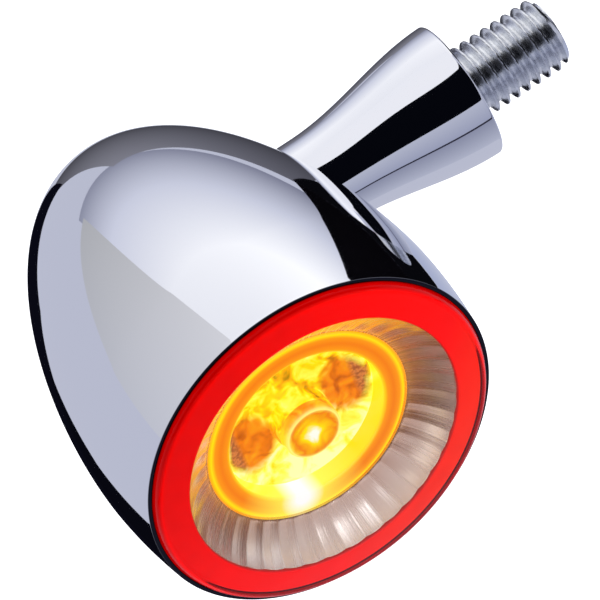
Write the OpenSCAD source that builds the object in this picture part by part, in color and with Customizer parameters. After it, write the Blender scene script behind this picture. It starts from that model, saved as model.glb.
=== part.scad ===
// Bullet turn signal with an amber centre light and a red ring light, on a flared stalk.
// The head swivels about the stalk, and a hollow M8 stud carries the lamp and its cable.
// X runs outwards along the stud from the stalk's seat face, the lens faces -Y, and Z is up.
// Head parts are drawn in the lens frame: z points out of the lens, 0 at the housing's lip.

/* [Housing] */
// Largest diameter of the bullet housing
housing_d = 39; // [38.5:0.5:47]
// Distance from the lip back to the widest place
widest_back = 9.4; // [7:0.1:12]
// Length of the rounded nose behind the widest place
nose_len = 37; // [30.5:0.5:45]
// How much smaller the lip's radius is than the widest radius
lip_taper = 0.75; // [0.3:0.05:1.2]
// Wall of the casting behind the lens
wall = 2; // [1.5:0.1:2.6]
// Wall left outside the lens at the lip
lip_wall = 0.45; // [0.35:0.05:0.8]
// Depth of the seat that holds the lens, ring and gasket
seat_depth = 5; // [4.5:0.1:6.5]
// Width of the shoulder under the gasket
shoulder_w = 1.1; // [0.9:0.1:1.4]

/* [Lens and ring light] */
// Height of the lens edge above the lip
lens_edge_h = 0.9; // [0.6:0.1:1.4]
// Radius that rounds the lens edge
lens_edge_r = 0.8; // [0.4:0.1:1.2]
// Rise of the domed lens above its edge
lens_rise = 1.7; // [1:0.1:3]
// Thickness of the clear lens
lens_t = 0.8; // [0.6:0.1:1.2]
// Visible width of the red ring light
ring_w = 3.4; // [2.5:0.1:4.2]
// Thickness of the silicone gasket
gasket_t = 1; // [0.6:0.1:1.5]

/* [Optics] */
// Diameter of the centre collimator
optic_d = 16.8; // [13.5:0.1:17.4]
// Depth of the collimator's face behind the lip
optic_back = 4.8; // [4:0.1:6]
// Height of the collimator from its base to its face
optic_h = 6.2; // [5:0.1:7.5]
// Diameter of the pip on the collimator
pip_d = 6; // [4:0.1:7]
// Height of the pip above the collimator's face
pip_h = 3.1; // [1.5:0.1:4]
// Width of the glowing ring round the collimator
diffuser_w = 2.4; // [1.8:0.1:3]
// Depth of the glowing ring's face behind the lip
diffuser_back = 2.9; // [2.4:0.1:3.6]

/* [Electronics] */
// Thickness of the light-emitting diode board
led_board_t = 1; // [0.8:0.1:1.6]
// Thickness of the driver board
driver_board_t = 1.2; // [0.8:0.1:1.6]
// Board left outside the centre of a screw
driver_edge = 2; // [1.8:0.1:2.4]
// Free height between the two boards
board_gap = 4; // [3.4:0.1:4.4]
// Number of red light-emitting diodes
red_count = 12; // [8:1:16]
// Number of board screws, spacers and bosses
screw_count = 3; // [3:1:4]
// Thread diameter of the board screws
screw_d = 2; // [1.6:0.1:2.2]

/* [Stalk] */
// Length of the stalk from its seat face to the housing's skin
stalk_len = 18.3; // [16:0.1:24]
// Distance of the stalk's axis behind the lip
stalk_back = 29; // [25:0.1:32]
// Diameter of the stalk's neck
neck_d = 10.3; // [9.6:0.1:12.2]
// Diameter of the stalk at its seat
seat_d = 15; // [12.5:0.1:18]
// Rounding of the seat's edge
seat_round = 0.35; // [0.2:0.05:0.6]
// Diameter of the wire passage in the stalk
wire_d = 5.2; // [4.5:0.1:5.6]

/* [Stud] */
// Length of the stud that stands out of the seat
stud_len = 11; // [9:0.5:20]
// Crest diameter of the M8 thread
crest_d = 7.85; // [7.7:0.01:7.9]
// Pitch of the stud's thread
pitch = 1.25; // [1:0.25:1.25]
// Length of the stud inside the stalk
stud_grip = 9.5; // [7:0.5:12]
// Diameter of the cable bore in the stud
cable_d = 4.5; // [3.6:0.1:5]

/* [Swivel] */
// Step from the neck down to the journal that turns in the housing
journal_step = 0.85; // [0.7:0.05:1.1]
// Length of the bearing inside the housing
bearing_len = 4; // [3.2:0.1:5]
// Turn allowed each way
swing = 35; // [20:1:50]
// Radial clearance of the journal and of the neck
run_gap = 0.05; // [0.02:0.01:0.1]
// End clearance of each swivelling face
end_gap = 0.05; // [0.03:0.01:0.1]

/* [Hidden] */
$fn = 96;
eps = 0.01;
fit = 0.05;            // gap between pieces that are pushed together by hand
curve_steps = 36;      // points along each curved outline

// Housing outline
housing_r = housing_d / 2;
nose_power = 1.75;     // how blunt the nose is
flank_power = 2.1;     // how full the flank is
function bullet(r, len, z) =
    r * pow(1 - pow(min(1, (-widest_back - z) / len), nose_power), 1 / flank_power);
function skin(z) = z > -widest_back
    ? housing_r - lip_taper * pow((z + widest_back) / widest_back, 2)
    : bullet(housing_r, nose_len, z);
lens_r = skin(0) - lip_wall - 2 * fit;
seat_r = lens_r + 2 * fit;
cavity_r = seat_r - shoulder_w;
ledge_w = 1;           // ledge under the light-emitting diode board

// Optics and boards, as heights in the lens frame
ring_in = lens_r - ring_w;
ring_edge_z = -0.5;
lens_flat_r = lens_r - lens_edge_r;
function lens_front(r) = lens_edge_h + lens_rise * (1 - pow(r / lens_flat_r, 2));
optic_r = optic_d / 2;
diffuser_r = optic_r + 2 * fit + diffuser_w;
collar_r = ring_in - fit;
collar_t = 0.85;
optic_z = -optic_back;
led_h = 0.9;           // height of an amber package
optic_base_z = optic_z - optic_h;
board_z = optic_base_z - led_h - 4 * fit;
board_under_z = board_z - led_board_t;
driver_z = board_under_z - board_gap;
driver_under_z = driver_z - driver_board_t;
board_r = cavity_r - 4 * fit;
guide_in = collar_r + 0.6;
guide_out = board_r - 0.1;
guide_end_z = board_z + 0.8;
red_r = (guide_in + guide_out) / 2;
boss_d = screw_d + 1.2;
screw_r = collar_r - collar_t - screw_d / 2 - 2 * fit;
driver_r = screw_r + driver_edge;
screw_turn = 30;

// Stalk and swivel, as places along X
axis_x = -stalk_len - skin(-stalk_back);
entry_depth = 0.9;     // least depth of skin round the neck's end
neck_r = neck_d / 2;
floor_x = axis_x + skin(-stalk_back - neck_r) - entry_depth;
thrust_t = 0.5;
neck_end_x = floor_x + thrust_t + end_gap;
face_x = floor_x - bearing_len;
slip_t = 0.5;
tab_x = face_x - slip_t - end_gap;
tab_t = 0.8;
spring_t = 0.35;
spring_h = 0.6;
spring_x = tab_x - tab_t;
nut_x = spring_x - spring_h;
nut_t = 2.2;
stalk_end_x = nut_x - nut_t - 0.5;
seat_r_out = seat_d / 2;
flare_len = stalk_len - 0.8;
flare_steps = 20;
function stalk_r(x) = -x < flare_len
    ? neck_r + (seat_r_out - neck_r) * (1 + cos(180 * x / flare_len)) / 2
    : neck_r;
journal_r = neck_r - journal_step;
end_r = journal_r - 0.2;
key_flat = end_r - 0.6;
wire_r = wire_d / 2;
washer_r = journal_r + 2.3;
tab_reach = washer_r + 1.8;
tab_w = 2.4;
stop_r = washer_r + 0.35;
tab_half = asin(tab_w / 2 / stop_r) + 0.5;
stop_half = 6;
boss_r = tab_reach + 0.5;
seal_w = 1.3;
seal_depth = 0.75;
seal_x = (floor_x + face_x) / 2;
crest_r = crest_d / 2;
thread_depth = 0.6134 * pitch;
shank_r = crest_r - thread_depth / 2;   // the blank that the thread is rolled on
runout = 0.8;           // depth of the recess round the thread's run-out
runout_r = crest_r + 0.2;
crest_flat = pitch / 8;
cable_r = cable_d / 2;

// Places the lens frame in the row's frame
module in_head() { translate([axis_x, -stalk_back, 0]) rotate([90, 0, 0]) children(); }
// Turns an outline of radius and place along X into a round body on the stalk's axis
module on_stalk() { rotate([0, 90, 0]) rotate_extrude() children(); }
// A washer or tube on the stalk's axis from x0 to x1
module tube_x(x0, x1, outer, inner) {
    on_stalk() translate([inner, min(x0, x1)]) square([outer - inner, abs(x1 - x0)]);
}
// A washer or tube on the lens axis from z0 to z1
module tube_z(z0, z1, outer, inner) {
    rotate_extrude() translate([inner, z0]) square([outer - inner, z1 - z0]);
}
// Copies its children at each board screw
module at_screws() {
    for (i = [0 : screw_count - 1])
        rotate(screw_turn + i * 360 / screw_count) translate([screw_r, 0, 0]) children();
}
// A box centred on x and y that stands on z
module chip(x, y, z, size) { translate([x - size[0] / 2, y - size[1] / 2, z]) cube(size); }

// Solid of the housing's outside
module bullet_solid() {
    outline = [for (i = [0 : curve_steps]) let (z = -widest_back * i / curve_steps) [skin(z), z]];
    nose = [for (i = [1 : curve_steps]) let (z = -widest_back - nose_len * sin(90 * i / curve_steps))
        [bullet(housing_r, nose_len, z), z]];
    rotate_extrude() polygon(concat([[0, 0]], outline, nose));
}
// Space inside the housing, from the lens seat back to the nose
module cavity() {
    inner_len = nose_len - wall;
    ledge_z = board_under_z;
    ledge_r = cavity_r - ledge_w;
    nose = [for (i = [0 : curve_steps]) let (z = -widest_back - inner_len * sin(90 * i / curve_steps),
        r = bullet(housing_r - wall, inner_len, z)) if (z < ledge_z) [min(ledge_r, r), z]];
    rotate_extrude() polygon(concat([[0, 1], [seat_r, 1], [seat_r, -seat_depth],
        [cavity_r, -seat_depth], [cavity_r, ledge_z], [ledge_r, ledge_z]], nose));
}
// Room that the stalk's inner end and its tab washer need
module swivel_room() { tube_x(face_x, stalk_end_x - 1.5, tab_reach + 0.3, 0); }
// The swivel's boss with its two stops, as a solid round the stalk's axis
module swivel_boss() {
    tube_x(face_x, -stalk_len + neck_r, boss_r, 0);
    for (side = [-1, 1])
        rotate([side * (swing + tab_half + stop_half), 0, 0])
            translate([tab_x - tab_t, 0, 0]) rotate([0, 90, 0])
                linear_extrude(face_x - tab_x + tab_t + eps) intersection() {
                    difference() { circle(tab_reach + 0.3); circle(stop_r); }
                    polygon([[0, 0], for (a = [-stop_half, stop_half])
                        [2 * boss_r * sin(a), 2 * boss_r * cos(a)]]);
                }
}
module housing_shell() {
    color("silver") difference() {
        in_head() bullet_solid();
        difference() {
            union() {
                in_head() cavity();
                swivel_room();
            }
            swivel_boss();
        }
        on_stalk() polygon(concat([[0, 0]], [for (i = [0 : flare_steps])
            let (x = -flare_len * i / flare_steps) [stalk_r(x) + run_gap, x]],
            [[neck_r + run_gap, floor_x], [0, floor_x]]));
        tube_x(face_x - eps, floor_x + eps, journal_r + run_gap, 0);
    }
}
// Underside of the lens from its edge to its centre, lowered by a gap
function under_lens(gap) = [for (i = [0 : 8]) let (r = lens_flat_r * (1 - i / 8))
    [r, lens_front(r) - lens_t - gap]];
module front_lens() {
    dome = [for (i = [0 : 12]) let (r = lens_flat_r * i / 12) [r, lens_front(r)]];
    edge = [for (a = [75 : -15 : 0]) [lens_flat_r + lens_edge_r * cos(a),
        lens_edge_h + lens_edge_r * (sin(a) - 1)]];
    color("white", 0.4) in_head() rotate_extrude()
        polygon(concat(dome, edge, [[lens_r, ring_edge_z]], under_lens(0)));
}
module light_guide_ring() {
    top = [for (p = under_lens(fit)) if (p[0] > ring_in) p];
    inner_z = lens_front(ring_in) - lens_t - fit;
    color("red") in_head() rotate_extrude() polygon(concat(
        [[lens_r, ring_edge_z - fit]], top, [[ring_in, inner_z], [ring_in, -seat_depth + gasket_t],
        [guide_in, -seat_depth + gasket_t], [guide_in, guide_end_z], [guide_out, guide_end_z],
        [guide_out, -seat_depth + gasket_t], [lens_r, -seat_depth + gasket_t]]));
}
module lens_gasket() {
    color("dimgray") in_head() tube_z(-seat_depth, -seat_depth + gasket_t, lens_r, guide_out + fit);
}
module reflector() {
    rim_z = lens_front(ring_in) - lens_t - 2 * fit;
    foot_z = -diffuser_back - 1.6;
    cone_t = 0.9;
    color("gainsboro") in_head() union() {
        rotate_extrude() polygon([[collar_r, rim_z], [collar_r, board_z],
            [collar_r - collar_t, board_z], [collar_r - collar_t, rim_z - 2],
            [diffuser_r + fit + cone_t, -diffuser_back - cone_t], [diffuser_r + fit + cone_t, foot_z],
            [diffuser_r + fit, foot_z], [diffuser_r + fit, -diffuser_back]]);
        at_screws() boss();
    }
}
// One screw boss of the reflector, blended into its collar
module boss() {
    top_z = -diffuser_back - 2;
    difference() {
        translate([0, 0, board_z]) cylinder(h = top_z - board_z, d = boss_d);
        translate([0, 0, board_z - eps]) cylinder(h = top_z - board_z - 1, d = screw_d + 2 * fit);
    }
}
module diffuser_ring() {
    color("orange") in_head() tube_z(optic_z - 1.2, -diffuser_back, diffuser_r, optic_r + fit);
}
module collimator() {
    rim_z = optic_z - 1.2;
    base_r = 3.6;
    flank = [for (i = [0 : 8]) let (u = i / 8)
        [optic_r - 0.8 - (optic_r - 0.8 - base_r) * pow(u, 1.5), rim_z - (optic_h - 1.2) * u]];
    color("gold") in_head() rotate_extrude() polygon(concat(
        [[0, optic_z + pip_h], [pip_d / 2 - 0.3, optic_z + pip_h], [pip_d / 2, optic_z + pip_h - 0.3],
        [pip_d / 2, optic_z], [optic_r, optic_z], [optic_r, rim_z]], flank,
        [[2.6, optic_base_z], [2.2, optic_base_z + 2.2], [0, optic_base_z + 2.8]]));
}
module optic_holder() {
    rim_z = optic_z - 1.2;
    color("dimgray") in_head() rotate_extrude() polygon([[diffuser_r, rim_z], [diffuser_r, board_z],
        [diffuser_r - 1.2, board_z], [diffuser_r - 1.2, rim_z - 1.6], [optic_r - 0.7, rim_z - 1.2],
        [optic_r - 0.7, rim_z]]);
}
module led_board() {
    color("white") in_head() difference() {
        translate([0, 0, board_under_z]) cylinder(h = led_board_t, r = board_r);
        at_screws() translate([0, 0, board_under_z - eps])
            cylinder(h = led_board_t + 2 * eps, d = screw_d + 4 * fit);
    }
}
module amber_leds() {
    size = 1.7;
    color("gold") in_head() for (x = [-1, 1], y = [-1, 1])
        chip(x * 1.05, y * 1.05, board_z, [size, size, led_h]);
}
module red_leds() {
    color("tomato") in_head() for (i = [0 : red_count - 1]) rotate((i + 0.5) * 360 / red_count)
        chip(red_r, 0, board_z, [1.4, 1.8, 0.6]);
}
module board_screws() {
    head_h = 1.4;
    length = -diffuser_back - 4 - driver_under_z;
    color("silver") in_head() at_screws() union() {
        translate([0, 0, driver_under_z - head_h]) difference() {
            cylinder(h = head_h, d = 1.9 * screw_d);
            translate([0, 0, -eps]) cylinder(h = 0.8, d = 0.9 * screw_d, $fn = 6);
        }
        translate([0, 0, driver_under_z - eps]) cylinder(h = length, d = screw_d);
    }
}
module board_spacers() {
    color("whitesmoke") in_head() at_screws() difference() {
        translate([0, 0, driver_z]) cylinder(h = board_gap, d = screw_d + 1.8);
        translate([0, 0, driver_z - eps]) cylinder(h = board_gap + 2 * eps, d = screw_d + 2 * fit);
    }
}
module driver_board() {
    color("darkgreen") difference() {
        in_head() translate([0, 0, driver_under_z]) cylinder(h = driver_board_t, r = driver_r);
        in_head() at_screws() translate([0, 0, driver_under_z - eps])
            cylinder(h = driver_board_t + 2 * eps, d = screw_d + 4 * fit);
        tube_x(face_x - 0.4, 0, boss_r + 0.4, 0);
    }
}
module pin_header() {
    pins = 5;
    pin_pitch = 2;
    y = -6;
    color("black") in_head() union() {
        chip(0, y, driver_z, [pins * pin_pitch, 2, 1.6]);
        for (i = [0 : pins - 1])
            chip((i - (pins - 1) / 2) * pin_pitch, y, driver_z, [0.5, 0.5, board_gap]);
    }
}
module driver_chip() {
    x = -4.6;
    y = 1;
    leg_pitch = 1.27;
    color("black") in_head() union() {
        chip(x, y, driver_z + 0.15, [3.9, 4.9, 1.4]);
        for (side = [-1, 1], i = [0 : 3])
            chip(x + side * 2.3, y + (i - 1.5) * leg_pitch, driver_z, [1, 0.42, 0.4]);
    }
}
module inductor() {
    flange_t = 0.7;
    high = 2.9;
    color("dimgray") in_head() translate([3.6, 2.6, driver_z]) union() {
        cylinder(h = flange_t, r = 2.7);
        cylinder(h = high, r = 1.8);
        translate([0, 0, high - flange_t]) cylinder(h = flange_t, r = 2.7);
    }
}
module capacitors() {
    color("goldenrod") in_head() for (x = [-3, 0.6]) chip(x, 8.2, driver_z, [2.8, 1.8, 1.9]);
}
module diodes() {
    color("black") in_head() for (y = [-2.4, 0, 2.4]) chip(8.6, y, driver_z, [2.6, 1.5, 1.1]);
}
module chip_resistors() {
    color("darkslategray") in_head() for (i = [0 : 4])
        chip(-9, i * 2.1 - 5.4, driver_z, [2, 1.2, 0.55]);
}
module lead_socket() {
    x = -4;
    high = 3.2;
    base_z = driver_under_z - high;
    color("ivory") in_head() difference() {
        chip(x, 0, base_z, [4, 8, high]);
        for (y = [-2.4, 0, 2.4]) translate([x, y, base_z - eps]) cylinder(h = 1.4, d = 1.3);
    }
}
module thrust_washer() {
    color("tan") tube_x(floor_x, floor_x + thrust_t, neck_r - fit, journal_r + run_gap);
}
module slip_washer() {
    color("tan") tube_x(face_x - slip_t, face_x, washer_r - 0.6, journal_r + run_gap);
}
module stalk() {
    flare = [for (i = [1 : flare_steps]) let (x = -flare_len * i / flare_steps) [stalk_r(x), x]];
    edge = [for (a = [90 : -15 : 15])
        [seat_r_out - seat_round * (1 - cos(a)), -seat_round * (1 - sin(a))]];
    key_x = face_x + 0.2;
    color("silver") difference() {
        on_stalk() polygon(concat([[runout_r, 0]], edge, flare, [[neck_r, neck_end_x],
            [journal_r, neck_end_x], [journal_r, seal_x + seal_w / 2],
            [journal_r - seal_depth, seal_x + seal_w / 2],
            [journal_r - seal_depth, seal_x - seal_w / 2],
            [journal_r, seal_x - seal_w / 2], [journal_r, key_x], [end_r, key_x],
            [end_r, stalk_end_x + 0.3], [end_r - 0.3, stalk_end_x], [wire_r, stalk_end_x],
            [wire_r, -stud_grip], [shank_r, -stud_grip], [shank_r, -runout],
            [runout_r, -runout]]));
        for (side = [-1, 1]) translate([(nut_x + key_x) / 2, 0, side * (key_flat + end_r / 2)])
            cube([key_x - nut_x, 2 * end_r, end_r], center = true);
    }
}
module hollow_stud() {
    chamfer = 0.7;
    turns = floor((stud_len - chamfer - crest_flat) / pitch);
    groove_w = pitch - crest_flat;
    root_flat = crest_flat;
    // one V groove for each turn, with a flat crest between grooves
    thread = [for (i = [0 : turns - 1]) let (x = i * pitch + crest_flat) each
        [[crest_r, x], [crest_r - thread_depth, x + (groove_w - root_flat) / 2],
        [crest_r - thread_depth, x + (groove_w + root_flat) / 2], [crest_r, x + groove_w]]];
    color("lightgray") on_stalk() polygon(concat(
        [[shank_r, -stud_grip], [shank_r, 0], [crest_r, 0]], thread,
        [[crest_r, stud_len - chamfer], [crest_r - chamfer, stud_len], [cable_r, stud_len],
        [cable_r, -stud_grip]]));
}
module journal_seal() {
    ring_r = journal_r + run_gap - 0.02;
    cord_r = (ring_r - journal_r + seal_depth) / 2;
    color("black") on_stalk() translate([ring_r - cord_r, seal_x]) circle(cord_r, $fn = 32);
}
module tab_washer() {
    color("silver") translate([spring_x, 0, 0]) rotate([0, 90, 0]) linear_extrude(tab_t) difference() {
        union() {
            circle(washer_r);
            translate([-tab_w / 2, 0]) square([tab_w, tab_reach]);
        }
        intersection() {
            circle(end_r + fit);
            square([2 * (key_flat + fit), 3 * end_r], center = true);
        }
    }
}
module disc_spring() {
    color("gray") on_stalk() polygon([[end_r + 2 * fit, nut_x], [end_r + 2 * fit, nut_x + spring_t],
        [washer_r - 0.4, spring_x], [washer_r - 0.4, spring_x - spring_t]]);
}
module retaining_nut() {
    across = 2 * end_r + 3.4;
    color("silver") translate([nut_x - nut_t, 0, 0]) rotate([0, 90, 0]) difference() {
        cylinder(h = nut_t, d = across / cos(30), $fn = 6);
        translate([0, 0, -eps]) cylinder(h = nut_t + 2 * eps, r = end_r + eps);
    }
}
module wire_grommet() {
    color("black") on_stalk() polygon([[wire_r - 0.9, stalk_end_x - 0.8], [end_r - 0.4, stalk_end_x - 0.8],
        [end_r - 0.4, stalk_end_x], [wire_r - eps, stalk_end_x], [wire_r - eps, stalk_end_x + 2.4],
        [wire_r - 0.9, stalk_end_x + 2.4]]);
}

housing_shell();
front_lens();
light_guide_ring();
lens_gasket();
reflector();
diffuser_ring();
collimator();
optic_holder();
led_board();
amber_leds();
red_leds();
board_screws();
board_spacers();
driver_board();
pin_header();
driver_chip();
inductor();
capacitors();
diodes();
chip_resistors();
lead_socket();
thrust_washer();
slip_washer();
stalk();
hollow_stud();
journal_seal();
tab_washer();
disc_spring();
retaining_nut();
wire_grommet();
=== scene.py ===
"""Looks of a bullet turn signal: chromed housing and stalk, threaded stud, clear lens, red ring light,
fluted reflector and amber centre optic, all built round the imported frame.

Lengths are in metres. The stalk and stud lie along X from the seat face at 0, the lens faces -Y, Z is up.
Head pieces are written as outlines of radius and height above the housing's lip, along the lens axis.
"""
import math

import bmesh
import bpy
import numpy as np
from bpy.props import FloatProperty, FloatVectorProperty, IntProperty, PointerProperty
from mathutils import Matrix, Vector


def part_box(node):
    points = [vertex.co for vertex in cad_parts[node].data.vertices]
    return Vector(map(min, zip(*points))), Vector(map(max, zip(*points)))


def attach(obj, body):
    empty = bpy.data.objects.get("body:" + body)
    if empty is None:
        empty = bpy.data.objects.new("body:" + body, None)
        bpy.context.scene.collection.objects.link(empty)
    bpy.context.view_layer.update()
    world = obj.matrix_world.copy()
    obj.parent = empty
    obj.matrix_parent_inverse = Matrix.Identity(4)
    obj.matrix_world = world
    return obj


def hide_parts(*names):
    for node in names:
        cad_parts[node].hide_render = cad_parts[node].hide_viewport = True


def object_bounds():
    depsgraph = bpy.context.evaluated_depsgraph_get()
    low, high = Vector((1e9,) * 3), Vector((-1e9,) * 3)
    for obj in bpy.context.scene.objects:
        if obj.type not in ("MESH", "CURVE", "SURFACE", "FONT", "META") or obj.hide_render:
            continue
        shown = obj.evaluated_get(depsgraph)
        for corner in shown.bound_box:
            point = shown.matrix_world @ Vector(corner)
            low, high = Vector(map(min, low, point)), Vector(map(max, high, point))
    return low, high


bl_info = {
    "name": "Bullet Turn Signal",
    "version": (1, 0, 0),
    "blender": (4, 5, 0),
    "location": "3D View > Sidebar > Turn Signal",
    "description": "Builds a chromed bullet turn signal with amber and red lights round a packed frame",
    "category": "Add Mesh",
}

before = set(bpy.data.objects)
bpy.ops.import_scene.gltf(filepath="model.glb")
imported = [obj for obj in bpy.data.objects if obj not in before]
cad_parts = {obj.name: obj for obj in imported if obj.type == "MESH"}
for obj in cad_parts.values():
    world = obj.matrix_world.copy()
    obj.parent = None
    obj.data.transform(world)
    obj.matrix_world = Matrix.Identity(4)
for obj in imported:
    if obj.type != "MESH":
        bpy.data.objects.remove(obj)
CAD_LOW, CAD_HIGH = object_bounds()

MM = 0.001
HOUSING_LOW, HOUSING_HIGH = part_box("housing_shell")
LENS_LOW, LENS_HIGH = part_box("front_lens")
_, RING_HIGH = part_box("light_guide_ring")
REFLECTOR_LOW, REFLECTOR_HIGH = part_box("reflector")
DIFFUSER_LOW, DIFFUSER_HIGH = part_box("diffuser_ring")
OPTIC_LOW, OPTIC_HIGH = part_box("collimator")
STALK_LOW, STALK_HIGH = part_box("stalk")
_, STUD_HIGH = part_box("hollow_stud")

HEAD_X = (LENS_LOW.x + LENS_HIGH.x) / 2      # the lens axis
LIP_Y = HOUSING_LOW.y                        # the housing's lip
SHARP = math.radians(32)                     # faces that meet at more than this keep a crisp edge
WELD = 1e-6                                  # points closer than this become one
FULL_TURN = 2 * math.pi
ACROSS_LENS = (1, 0, 1)                      # keeps the part of a vector that is square to the lens axis
BLACK, WHITE = (0, 0, 0), (1, 1, 1)
EDGE_DEPTH = 0.5 * MM                        # how far the lens's edge reaches below the lip
PLAY = 0.05 * MM                             # room between parts that meet
LARGE_ROUND, SMALL_ROUND = 240, 200          # columns round the head's pieces and round smaller ones


def linear(colour):
    """Turns an sRGB hex colour into linear red, green and blue."""
    parts = [int(colour[i:i + 2], 16) / 255 for i in (1, 3, 5)]
    return [p / 12.92 if p <= 0.04045 else ((p + 0.055) / 1.055) ** 2.4 for p in parts]


def length(name, text, value, low=0.0):
    """A size that a user may change, in metres."""
    return FloatProperty(name=name, description=text, default=value, min=low, unit="LENGTH", precision=5)


def tint(name, text, colour):
    """A colour that a user may change."""
    return FloatVectorProperty(name=name, description=text, default=linear(colour), size=3,
                               min=0, max=1, subtype="COLOR")


# ---------------------------------------------------------------- settings

class HousingSettings(bpy.types.PropertyGroup):
    """Outline and plate of the bullet housing."""
    radius: length("Radius", "Largest radius of the bullet", HOUSING_HIGH.z)
    widest: length("Widest place", "Distance from the lip back to the widest place", 9.4 * MM)
    taper: length("Lip taper", "How much smaller the lip's radius is than the largest", 0.75 * MM)
    nose_power: FloatProperty(name="Nose power", description="How blunt the nose is", default=1.75)
    flank_power: FloatProperty(name="Flank power", description="How full the flank is", default=2.1)
    wall: length("Wall", "Wall of the casting", 2 * MM)
    seat_depth: length("Seat depth", "Depth of the seat that holds the lens", 5 * MM)
    shoulder: length("Shoulder", "Width of the shoulder under the gasket", 1.1 * MM)
    bore: length("Bore", "Radius of the hole that the stalk enters", 5.2 * MM)
    edge: length("Edge rounding", "Radius on the lip's edges", 0.12 * MM)
    plate: tint("Plate", "Colour of the chrome plate", "#F4F5FA")


class StalkSettings(bpy.types.PropertyGroup):
    """Sizes of the stalk and of its threaded stud."""
    neck: length("Neck", "Radius of the neck", 5.15 * MM)
    flare: length("Flare", "Length of the flare behind the seat face", 17.5 * MM)
    seat_round: length("Seat rounding", "Radius on the seat's edge", 0.35 * MM)
    journal: length("Journal", "Radius of the journal inside the housing", 4.3 * MM)
    neck_end: length("Neck end", "Distance from the seat face to the end of the neck", 19.45 * MM)
    passage: length("Wire passage", "Radius of the passage for the wires", 2.6 * MM)
    grip: length("Grip", "Length of the stud inside the stalk", 9.5 * MM)
    recess: length("Recess", "Depth of the recess round the thread's run-out", 0.8 * MM)
    crest: length("Crest", "Crest radius of the thread", 3.925 * MM)
    pitch: length("Pitch", "Distance between crests", 1.25 * MM)
    depth: length("Thread depth", "Depth of the thread", 0.767 * MM)
    bore: length("Cable bore", "Radius of the stud's bore", 2.25 * MM)
    chamfer: length("Chamfer", "Chamfer at the stud's end", 0.7 * MM)
    steel: tint("Zinc", "Colour of the zinc plate on the stud", "#F0F2F6")


class LensSettings(bpy.types.PropertyGroup):
    """Sizes of the clear lens and of the red ring under its edge."""
    edge_height: length("Edge height", "Height of the lens edge above the lip", 0.9 * MM)
    edge_round: length("Edge rounding", "Radius that rounds the lens edge", 0.8 * MM)
    rise: length("Rise", "Rise of the dome above the lens edge", 1.7 * MM)
    thickness: length("Thickness", "Thickness of the clear lens", 0.8 * MM)
    ring_width: length("Ring width", "Visible width of the red ring", 3.6 * MM)
    ring_glow: tint("Ring glow", "Colour of the lit ring", "#FF0000")
    # the warm end of the ring's painted light, on the side towards the stalk
    ring_glow_painted_light: tint("Warm ring glow", "Colour of the ring where its light is strongest", "#FF2400")


class OpticSettings(bpy.types.PropertyGroup):
    """Sizes and colours of the reflector, the amber ring and the centre optic."""
    flutes: IntProperty(name="Flutes", description="Number of flutes round the reflector", default=40)
    flute_depth: length("Flute depth", "Depth of a flute", 0.08 * MM)
    hollow: length("Hollow", "Distance from the axis to the middle of a darker hollow", 5.4 * MM)
    pip: length("Pip radius", "Radius of the pip on the centre optic", 3 * MM)
    pip_height: length("Pip height", "Height of the pip above the optic's face", 3.1 * MM)
    glow_yellow: tint("Yellow glow", "Brightest colour of the lit optic", "#FFE400")
    glow_pale: tint("Pale glow", "Colour where the diodes shine straight out", "#FFFF58")
    glow_amber: tint("Amber glow", "Colour of the lit ring", "#FF960C")
    glow_orange: tint("Orange glow", "Colour of the optic's darker sides", "#EE7A08")


class StudioSettings(bpy.types.PropertyGroup):
    """Camera, floor and light."""
    camera_place: FloatVectorProperty(name="Camera", description="Place of the camera", size=3,
                                      default=(-105.65 * MM, -357.73 * MM, 370.04 * MM), unit="LENGTH")
    azimuth: FloatProperty(name="Azimuth", description="Turn of the camera round the lamp, in degrees",
                           default=-12.85)
    elevation: FloatProperty(name="Elevation", description="Camera above the horizon, in degrees",
                             default=46.22)
    roll: FloatProperty(name="Roll", description="Turn of the camera about its view, in degrees",
                        default=-24.11)
    focal: FloatProperty(name="Focal length", description="Focal length in millimetres", default=313.4)
    floor_drop: length("Floor", "Distance of the floor below the lamp", 90 * MM)
    floor: tint("Floor", "Colour of the lit floor", "#FFFFFF")
    surround: tint("Surround", "Colour of the walls that the chrome mirrors", "#BFC2D2")


# ---------------------------------------------------------------- surfaces

def arc(centre, radius, start, end, steps=6):
    """Points of radius and height on a circle, from one angle to another in degrees."""
    turn = np.radians(np.linspace(start, end, steps + 1))
    return np.stack([centre[0] + radius * np.cos(turn), centre[1] + radius * np.sin(turn)], axis=1)


def rounded(corners):
    """A closed outline through corners (radius, height, rounding). Each corner becomes an arc of the
    circle that touches both its sides, and the arc's ends lie rounding / tan(half the corner's angle)
    from the corner."""
    corner = np.array(corners, float)
    place, fillet = corner[:, :2], corner[:, 2]
    outline = []
    for p, before, after, r in zip(place, np.roll(place, 1, axis=0), np.roll(place, -1, axis=0), fillet):
        if r == 0:
            outline.append(p[None])
            continue
        u = (before - p) / np.linalg.norm(before - p)
        v = (after - p) / np.linalg.norm(after - p)
        angle = math.acos(np.clip(u @ v, -1, 1))
        reach = r / math.tan(angle / 2)
        centre = p + (u + v) / np.linalg.norm(u + v) * r / math.sin(angle / 2)
        first, last = p + u * reach - centre, p + v * reach - centre
        sweep = math.pi - angle
        share = np.linspace(0, 1, 7)[:, None]
        outline.append(centre + (np.sin((1 - share) * sweep) * first + np.sin(share * sweep) * last)
                       / math.sin(sweep))
    outline = np.concatenate(outline)
    return np.concatenate([outline, outline[:1]])


def along(outline, longest):
    """The outline with points added on its straight stretches, so that no step is over longest."""
    step = np.linalg.norm(np.diff(outline, axis=0), axis=1)
    counts = np.maximum(1, np.ceil(step / longest).astype(int))
    made = [a + (b - a) * np.arange(n)[:, None] / n for a, b, n in zip(outline[:-1], outline[1:], counts)]
    return np.concatenate(made + [outline[-1:]])


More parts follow.
